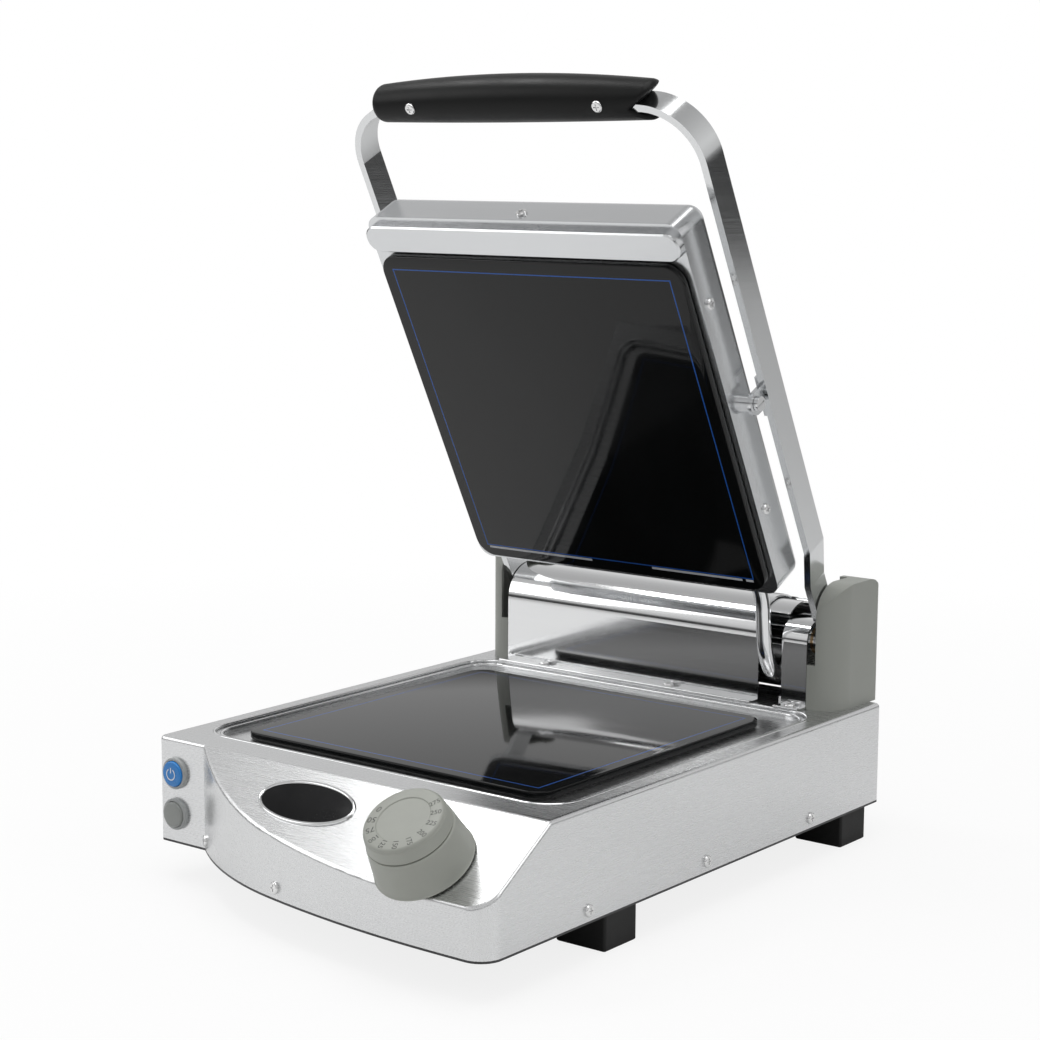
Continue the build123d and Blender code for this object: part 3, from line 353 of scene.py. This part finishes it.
inkWhite = plastic("inkWhite", (0.75, 0.78, 0.80), 0.4)
lowerGlass = printedGlass("lowerGlass", False, 0.17, printSpec)
upperGlass = printedGlass("upperGlass", True, 0.3, printSpec)
print("materials made")

nodeMaterials = {
    brushed: ["casing", "hinge_brackets"],
    brushedLid: ["lid_shell", "bumper_bar", "pivot_brackets"],
    armSteel: ["arm_left", "arm_right"],
    polishedSteel: ["hinge_housing", "conduit", "conduit_grommet", "pivot_pins", "hinge_shaft"],
    screwSteel: ["side_screws", "apron_screws", "lid_screws", "grip_screws", "hinge_cover_screws",
                 "bracket_screws", "foot_screws", "thermostat_spindle"],
    innerSteel: ["lower_heater_tray", "upper_heater_tray"],
    ribbonSteel: ["lower_heater_element", "upper_heater_element"],
    bronze: ["hinge_bushes"],
    greyPlastic: ["hinge_cap_left", "hinge_cap_right"],
    knobPlastic: ["knob_skirt", "knob_cap"],
    blackGrip: ["grip_front", "grip_back"],
    blackPlastic: ["button_switches", "cable_gland", "terminal_block", "thermostat"],
    blackPaint: ["bottom_plate"],
    footRubber: ["feet"],
    sealRubber: ["lower_glass_seal", "upper_glass_seal"],
    blueCap: ["upper_button"],
    greyCap: ["lower_button"],
    bezelGrey: ["upper_button_bezel", "lower_button_bezel"],
    badgeBlack: ["badge_plate"],
    fibre: ["lower_insulation", "upper_insulation"],
    lowerGlass: ["lower_glass"],
    upperGlass: ["upper_glass"],
}
for material, names in nodeMaterials.items():
    for name in names:
        slots = nodes[name].data.materials
        slots.clear()
        slots.append(material)
print("solids dressed")

# Sloped panel's frame: local x to the right, y up the slope, z its normal
slope = math.radians(bodySpec["panelSlope"])
panelAxes = ((1, 0, 0), (0, math.cos(slope), math.sin(slope)), (0, -math.sin(slope), math.cos(slope)))


def onPanel(x, down):
    y = bodySpec["deckFront"] + shiftY - down * math.cos(slope)
    return (x, y, bodySpec["deckTop"] - down * math.sin(slope))


# Badge: bright rim and a plain domed field, left bare
badgeSpec = {"x": -0.0085, "down": 0.0275, "halfX": 0.0395, "halfY": 0.0175, "rim": 0.0026, "height": 0.0016,
             "segments": 128, "fieldRings": 8}


# The rim lifts its ovals over a rounded section; the field rises inwards by a quarter sine
def badgePieces(spec):
    origin = onPanel(spec["x"], spec["down"])
    segments, rim, top = spec["segments"], spec["rim"], spec["height"]
    angle = 2 * np.pi * np.arange(segments) / segments

    def ovals(insets, heights):  # an oval drawn in by each inset, at each height
        inset, height = np.array(insets)[:, None], np.array(heights)[:, None]
        rings = np.broadcast_arrays((spec["halfX"] - inset) * np.cos(angle),
                                    (spec["halfY"] - inset) * np.sin(angle), height)
        return placed(np.stack(rings, -1).reshape(-1, 3), origin, *panelAxes)

    section = np.array([(0, 0), (0, 0.6), (0.25, 0.95), (0.5, 1), (0.75, 0.95), (1, 0.6), (1, 0.25)])
    addMesh("badge_rim", ovals(section[:, 0] * rim, section[:, 1] * top), gridFaces(len(section), segments),
            polishedSteel, "base", angle=60)
    rings = spec["fieldRings"]
    share = np.arange(rings) / rings
    field = ovals(rim + (spec["halfY"] - rim) * share * 0.98, top * (0.45 + 0.25 * np.sin(share * np.pi / 2)))
    faces = gridFaces(rings, segments) + endFaces(rings, segments)[1:]
    piece = addMesh("badge_field", field, faces, badgeBlack, "base", angle=60)
    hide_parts("badge_plate")


badgePieces(badgeSpec)
print("badge made")

# Knob: skirt and cap turned on the panel's normal, with numbers round the rim of its face
knobSpec = {"x": 0.104, "down": 0.0493, "height": 0.037, "top": 0.026, "base": 0.032, "seam": 0.026,
            "segments": 144, "first": 172.0, "step": 24.0, "size": 0.0060, "ring": 0.0206,
            "numbers": ("0", "50", "75", "100", "125", "150", "175", "200", "225", "250", "275")}


# Profiles turned round: the wall narrows evenly with height and meets the face in a quarter circle
def knobPieces(spec):
    origin = onPanel(spec["x"], spec["down"])
    base, top, seam, height = spec["base"], spec["top"], spec["seam"], spec["height"]
    flare = (base - top) / height
    seamRadius = base - flare * seam
    skirt = [(0.0290, 0.0012), (base - 0.0008, 0.001), (base - 0.0002, 0.0014), (base, 0.0022)]
    skirt += [(base - flare * h, h) for h in np.linspace(0.003, seam - 0.0008, 12)]
    skirt += [(seamRadius - 0.0003, seam - 0.0002), (seamRadius - 0.0010, seam), (seamRadius - 0.003, seam)]
    low = seam + 0.0004
    cap = [(seamRadius - 0.003, low), (seamRadius - 0.0010, low), (seamRadius - 0.0005, low + 0.0006)]
    cap += [(base - flare * h - 0.0004, h) for h in np.linspace(low + 0.0012, height - 0.0024, 8)]
    rise, run = quarter(8)
    cap += list(zip(top - 0.0004 - 0.0020 * (1 - run), height - 0.0020 * (1 - rise)))
    cap += [(0.0175, height - 0.00005), (0.0168, height - 0.0006), (0.004, height - 0.0007)]
    for name, profile in (("knob_skirt", skirt), ("knob_cap", cap)):
        verts, faces = lathe(profile, spec["segments"])
        piece = addMesh(name + "_shell", placed(verts, origin, *panelAxes), faces, knobPlastic, "knob")
        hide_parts(name)
    for i, word in enumerate(spec["numbers"]):
        angle = math.radians(spec["first"] + i * spec["step"])
        spot = (spec["ring"] * math.cos(angle), spec["ring"] * math.sin(angle), height + 0.00002)
        size = spec["size"] * (0.8 if len(word) > 2 else 1.0)
        addLabel("knob_number_%d" % i, word, size, origin, spot, angle)


# Flat digits on the knob's face, turned to read outwards along the radius
def addLabel(name, word, size, origin, spot, angle):
    curve = bpy.data.curves.new(name, "FONT")
    curve.body = word
    curve.size = size
    curve.align_x, curve.align_y = "CENTER", "CENTER"
    curve.resolution_u = 3
    text = bpy.data.objects.new(name + "_text", curve)
    bpy.context.scene.collection.objects.link(text)
    bpy.context.view_layer.update()
    mesh = bpy.data.meshes.new_from_object(text)
    bpy.data.objects.remove(text)
    flat = np.empty(3 * len(mesh.vertices))
    mesh.vertices.foreach_get("co", flat)
    x, y = flat[0::3], flat[1::3]
    c, s = math.cos(angle), math.sin(angle)
    local = np.stack([x * c - y * s + spot[0], x * s + y * c + spot[1], np.full(len(x), spot[2])], 1)
    faces = [list(face.vertices) for face in mesh.polygons]
    bpy.data.meshes.remove(mesh)
    addMesh(name, placed(local, origin, *panelAxes), faces, inkDark, "knob", smooth=False)


knobPieces(knobSpec)
print("knob made")

# Push buttons: domed caps and rounded collars; the upper one carries a ring and bar
buttonSpec = {"x": -0.1495, "upper": 0.0736, "lower": 0.0456, "cap": 0.0086, "out": 0.0052,
              "bezel": 0.01075, "bezelOut": 0.0030, "segments": 72}
markSpec = {"from": 120.0, "sweep": 300.0, "outer": 0.0041, "inner": 0.0034, "segments": 48, "lift": 0.00012,
            "barHalf": 0.0004, "barLow": 0.0008, "barHigh": 0.0046}
buttonAxes = ((1, 0, 0), (0, 0, 1), (0, -1, 0))  # right, up and out of the flat front


def buttonOrigin(spec, name):
    return (spec["x"], bodySpec["deckFront"] + shiftY, spec[name])


# Profiles turned round: straight walls with a quarter ellipse at each rim
def buttonPieces(spec, name, material):
    origin = buttonOrigin(spec, name)
    capR, capOut, bezelR, bezelOut = spec["cap"], spec["out"], spec["bezel"], spec["bezelOut"]
    rise, run = quarter(6)
    profile = [(capR, -0.004), (capR, capOut - 0.0016)]
    profile += list(zip(capR - 0.0014 * (1 - run), capOut - 0.0016 + 0.0012 * rise))
    profile += [(0.005, capOut - 0.00018), (0.0025, capOut - 0.00005), (0.0004, capOut)]
    verts, faces = lathe(profile, spec["segments"])
    piece = addMesh(name + "_button_cap", placed(verts, origin, *buttonAxes), faces, material,
                    name + "_button")
    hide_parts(name + "_button")
    ring = [(bezelR, 0.0), (bezelR, bezelOut - 0.0012)]
    ring += list(zip(bezelR - 0.0011 * (1 - run), bezelOut - 0.0012 + 0.0012 * rise))
    ring += [(capR + 0.0004, bezelOut), (capR + 0.0003, bezelOut - 0.0003), (capR + 0.0003, 0.0)]
    verts, faces = lathe(ring, spec["segments"])
    collar = addMesh(name + "_button_collar", placed(verts, origin, *buttonAxes), faces[:-2], bezelGrey,
                     "base")
    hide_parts(name + "_button_bezel")


# The mark is an open ring with a short bar in its gap
def markPiece(spec, mark):
    segments, top = mark["segments"], spec["out"] + mark["lift"]
    angle = np.radians(mark["from"] + mark["sweep"] * np.arange(segments + 1) / segments)
    radius = np.array([[mark["outer"]], [mark["inner"]]])
    verts = np.stack(np.broadcast_arrays(radius * np.cos(angle), radius * np.sin(angle), top), -1)
    half, low, high = mark["barHalf"], mark["barLow"], mark["barHigh"]
    bar = [(-half, low, top), (half, low, top), (half, high, top), (-half, high, top)]
    verts = np.concatenate([verts.reshape(-1, 3), bar])
    faces = gridFaces(2, segments + 1, closed=False) + [list(range(len(verts) - 4, len(verts)))]
    addMesh("button_mark", placed(verts, buttonOrigin(spec, "upper"), *buttonAxes), faces, inkWhite,
            "upper_button", smooth=False)


buttonPieces(buttonSpec, "upper", blueCap)
buttonPieces(buttonSpec, "lower", greyCap)
markPiece(buttonSpec, markSpec)
print("buttons made")

# Recess round the lower glass: bright rolled beads on its two steps, as (inset, height, radius)
recessSpec = {"front": -0.1718, "back": 0.1342, "half": 0.152, "corner": 0.026, "steps": 14, "sides": 10,
              "rings": ((0.0, 0.0969, 0.0012), (0.005, 0.0953, 0.0012))}


# A small circle carried round each rounded rectangle
def recessBeads(spec):
    centre = (spec["front"] + spec["back"]) / 2 + shiftY
    halfY = (spec["back"] - spec["front"]) / 2
    sides, steps = spec["sides"], spec["steps"]
    turn = 2 * np.pi * np.arange(sides) / sides
    faces = [face[::-1] for face in gridFaces(sides, 4 * (steps + 1), looped=True)]
    for index, (inset, height, radius) in enumerate(spec["rings"]):
        rows = stackedLoops(spec["half"], halfY, spec["corner"], steps, radius * np.cos(turn) - inset,
                            height + radius * np.sin(turn), centre)
        addMesh("recess_bead_%d" % index, rows, faces, polishedSteel, "base", angle=80)


recessBeads(recessSpec)
print("recess beads made")

# Grip: one moulded barrel, flatter below than above, with rounded ends and a notch for the right arm
gripSpec = {"half": 0.1165, "middle": 0.0160, "ends": 0.0131, "round": 0.0065, "y": -0.2546, "flatten": 0.8,
            "notch": 0.015, "lip": 0.0105, "notchY": 0.0038, "blend": 0.028, "segments": 96, "capRings": 11}


# Radius by station: cap, rounded rim, parabola, rim, cap; the notch draws the right end in as a V across y
def gripPiece(spec):
    half, middle, ends, curve = spec["half"], spec["middle"], spec["ends"], spec["round"]
    segments, capRings = spec["segments"], spec["capRings"]
    rise, run = quarter(9)
    rimU, rimR = half - curve * (1 - rise), ends - curve * (1 - run)
    along = np.linspace(-(half - curve), half - curve, 81)[1:-1]
    barrelR = ends + (middle - ends) * (1 - (along / (half - curve)) ** 2)
    capR = np.linspace(ends - curve, 0.0003, capRings + 1)[1:]
    u = np.concatenate([np.full(capRings, -half), -rimU[::-1], along, rimU, np.full(capRings, half)])
    radius = np.concatenate([capR[::-1], rimR[::-1], barrelR, rimR, capR])[:, None]
    angle = 2 * np.pi * np.arange(segments) / segments
    drop = spec["flatten"] * np.minimum(middle - radius, middle - ends)
    y = drop + radius * np.cos(angle)
    z = radius * np.sin(angle)
    notch = spec["notch"] * np.clip(1 - np.abs(y - spec["notchY"]) / spec["lip"], 0, 1)
    share = np.clip((u - half + spec["blend"]) / spec["blend"], 0, 1)[:, None]
    rows = np.stack([u[:, None] - share * notch, y + spec["y"] + shiftY, z + axisZ], 2).reshape(-1, 3)
    faces = gridFaces(len(u), segments) + endFaces(len(u), segments)
    piece = addMesh("grip_barrel", opened(rows), faces, blackGrip, "lid_arms", angle=40)
    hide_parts("grip_front", "grip_back")


gripPiece(gripSpec)
print("grip made")

# Hinge cover: liner that closes the top of the conduit's slot, a thin band bent round the hinge axis
linerSpec = {"left": 0.0938, "right": 0.1137, "radius": 0.0262, "sheet": 0.0012, "from": 48.0, "to": 125.0,
             "steps": 24}


# A flat oblong section carried along an arc
def linerPiece(spec):
    outer, inner = spec["radius"], spec["radius"] - spec["sheet"]
    x = np.array([spec["left"], spec["right"], spec["right"], spec["left"]])
    radius = np.array([outer, outer, inner, inner])
    angle = np.radians(np.linspace(spec["from"], spec["to"], spec["steps"] + 1))[:, None]
    y, z = axisY - radius * np.cos(angle), axisZ + radius * np.sin(angle)
    rows = np.stack(np.broadcast_arrays(x, y, z), -1)
    faces = gridFaces(len(angle), 4) + endFaces(len(angle), 4)
    addMesh("slot_liner", rows.reshape(-1, 3), faces, polishedSteel, "base", angle=60)


linerPiece(linerSpec)
print("slot liner made")

# Glass plates with ground edges
glassSpec = {"half": 0.1275, "corner": 0.014, "edge": 0.0011, "thick": 0.005, "lowerTop": 0.0985,
             "gap": 0.003, "steps": 12, "rounds": 6}


# Square loops that grow out over a quarter circle below and draw in over another above
def glassPlate(spec, low):
    edge, high = spec["edge"], low + spec["thick"]
    rise, run = quarter(spec["rounds"])
    growths = np.concatenate([-edge * (1 - rise), -edge * (1 - run)])
    heights = np.concatenate([low + edge * (1 - run), high - edge * (1 - rise)])
    half, steps = spec["half"], spec["steps"]
    verts = stackedLoops(half, half, spec["corner"], steps, growths, heights, glassCentre)
    columns = 4 * (steps + 1)
    return verts, gridFaces(len(growths), columns) + endFaces(len(growths), columns)


def glassPieces(spec):
    verts, faces = glassPlate(spec, spec["lowerTop"] - spec["thick"])
    piece = addMesh("lower_glass_plate", verts, faces, lowerGlass, "base")
    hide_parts("lower_glass")
    verts, faces = glassPlate(spec, spec["lowerTop"] + spec["gap"])
    piece = addMesh("upper_glass_plate", opened(verts), faces, upperGlass, "lid_plate")
    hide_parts("upper_glass")


glassPieces(glassSpec)
print("glass made")

# Floor: pale, and for the camera it glows to white away from the object
floorSpec = {"half": 8.0, "colour": (0.86, 0.86, 0.86, 1), "rough": 0.6, "near": 0.3, "far": 1.2,
             "nearGlow": 0.84}


def addFloor(spec):
    g = Graph("studioFloor", Roughness=spec["rough"], Base_Color=spec["colour"])
    path = g.node("ShaderNodeLightPath")
    glow = g.node("ShaderNodeEmission", Color=(1, 1, 1, 1), Strength=1.0)
    blend = g.node("ShaderNodeMixShader")
    x, y, z = g.axes()
    away = g.ramp((x * x + y * y).math("SQRT"), spec["near"], spec["far"], spec["nearGlow"], 1.0)
    g.feed(blend.inputs[0], Socket(g, path.outputs["Is Camera Ray"]) * away)
    g.feed(blend.inputs[1], g.shader.outputs[0])
    g.feed(blend.inputs[2], glow.outputs[0])
    g.feed(g.tree.nodes["Material Output"].inputs["Surface"], blend.outputs[0])
    mesh = bpy.data.meshes.new("floor")
    half = spec["half"]
    corners = [(-half, -half, 0), (half, -half, 0), (half, half, 0), (-half, half, 0)]
    mesh.from_pydata(corners, [], [(0, 1, 2, 3)])
    mesh.materials.append(g.material)
    floor = bpy.data.objects.new("floor", mesh)
    bpy.context.scene.collection.objects.link(floor)


# World: white for the camera, and for other rays a level that changes with height, as (height, level)
worldStops = {"Is Diffuse Ray": ((0.0, 0.27), (0.6, 0.58)),
              "Is Glossy Ray": ((0.0, 0.04), (0.07, 0.06), (0.14, 0.62), (0.35, 0.78), (0.9, 0.45))}


def addWorld(stopsByRay):
    world = bpy.data.worlds.new("studio")
    bpy.context.scene.world = world
    world.use_nodes = True
    tree = world.node_tree
    last = tree.nodes["Background"]
    last.inputs["Color"].default_value = (1, 1, 1, 1)
    coord = tree.nodes.new("ShaderNodeTexCoord")
    split = tree.nodes.new("ShaderNodeSeparateXYZ")
    tree.links.new(coord.outputs["Generated"], split.inputs[0])
    path = tree.nodes.new("ShaderNodeLightPath")
    for ray, stops in stopsByRay.items():
        sky = tree.nodes.new("ShaderNodeBackground")
        shade = tree.nodes.new("ShaderNodeValToRGB")
        while len(shade.color_ramp.elements) < len(stops):
            shade.color_ramp.elements.new(0.5)
        for element, (height, level) in zip(shade.color_ramp.elements, stops):
            element.position = height
            element.color = (level, level, level, 1)
        tree.links.new(split.outputs["Z"], shade.inputs[0])
        tree.links.new(shade.outputs[0], sky.inputs["Color"])
        blend = tree.nodes.new("ShaderNodeMixShader")
        tree.links.new(path.outputs[ray], blend.inputs[0])
        tree.links.new(last.outputs[0], blend.inputs[1])
        tree.links.new(sky.outputs[0], blend.inputs[2])
        last = blend
    tree.links.new(last.outputs[0], tree.nodes["World Output"].inputs["Surface"])


# Soft boxes: place, what they aim at, side and power
lampSpec = {
    "topSoftbox": {"place": (0.2, -0.2, 1.9), "target": (0, 0.0, 0.2), "size": 1.3, "power": 13.0},
    "panelSoftbox": {"place": (-0.72, -0.13, 1.45), "target": (0.12, -0.2, 0.07), "size": 0.34, "power": 3.2},
    "leftSoftbox": {"place": (-1.6, -1.2, 1.1), "target": (0, 0, 0.2), "size": 1.0, "power": 6.0},
    "rightSoftbox": {"place": (1.9, 0.3, 1.3), "target": (0, 0, 0.2), "size": 0.9, "power": 4.0},
}


def addLamp(name, spec):
    data = bpy.data.lights.new(name, "AREA")
    data.shape = "SQUARE"
    data.size = spec["size"]
    data.energy = spec["power"]
    lamp = bpy.data.objects.new(name, data)
    lamp.location = spec["place"]
    aim = Vector(spec["target"]) - Vector(spec["place"])
    lamp.rotation_euler = aim.to_track_quat("-Z", "Y").to_euler()
    bpy.context.scene.collection.objects.link(lamp)


addFloor(floorSpec)
addWorld(worldStops)
for name, spec in lampSpec.items():
    addLamp(name, spec)
bpy.context.scene.view_settings.view_transform = "Standard"
print("stage lit")
